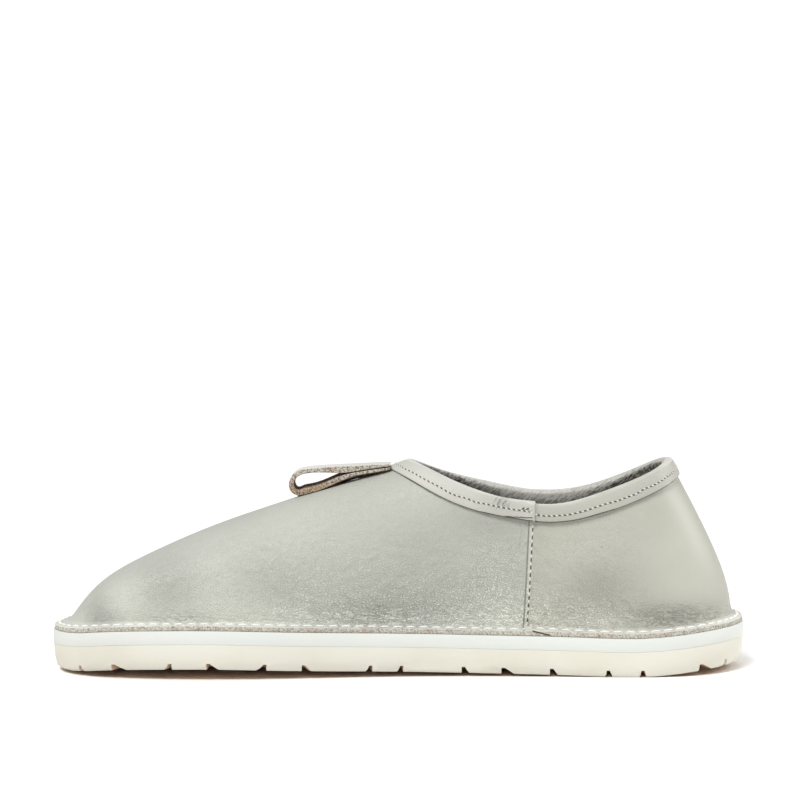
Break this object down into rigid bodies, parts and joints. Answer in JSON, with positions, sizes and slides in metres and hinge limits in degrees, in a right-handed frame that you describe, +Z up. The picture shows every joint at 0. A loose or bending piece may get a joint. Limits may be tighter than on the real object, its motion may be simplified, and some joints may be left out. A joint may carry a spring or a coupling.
{
  "type": "babouche slip-on shoe",
  "caption": "Closed slip-on leather shoe with a stitched-down flange, bound collar, pull loop, foam midsole and lugged rubber outsole, standing empty on its sole.",
  "frame": {"origin": "on the floor, under the middle of the sole's bounding box", "axes": "+X to the heel, +Y to the outer side of the foot, +Z up"},
  "size_m": [0.27, 0.0933, 0.0818],
  "materials": {
    "cream_rubber": "matt cream rubber",
    "white_foam": "matt white foam rubber",
    "grey_leather": "soft light grey grained leather",
    "insole_leather": "matt grey-brown leather",
    "binding_leather": "soft light grey leather",
    "strap_leather": "light grey leather with raw edges"
  },
  "bodies": {
    "root": {"outsole": "cream_rubber", "midsole": "white_foam", "upper": "grey_leather", "insole": "insole_leather", "collar_binding": "binding_leather", "pull_loop": "strap_leather"}
  },
  "joints": []
}
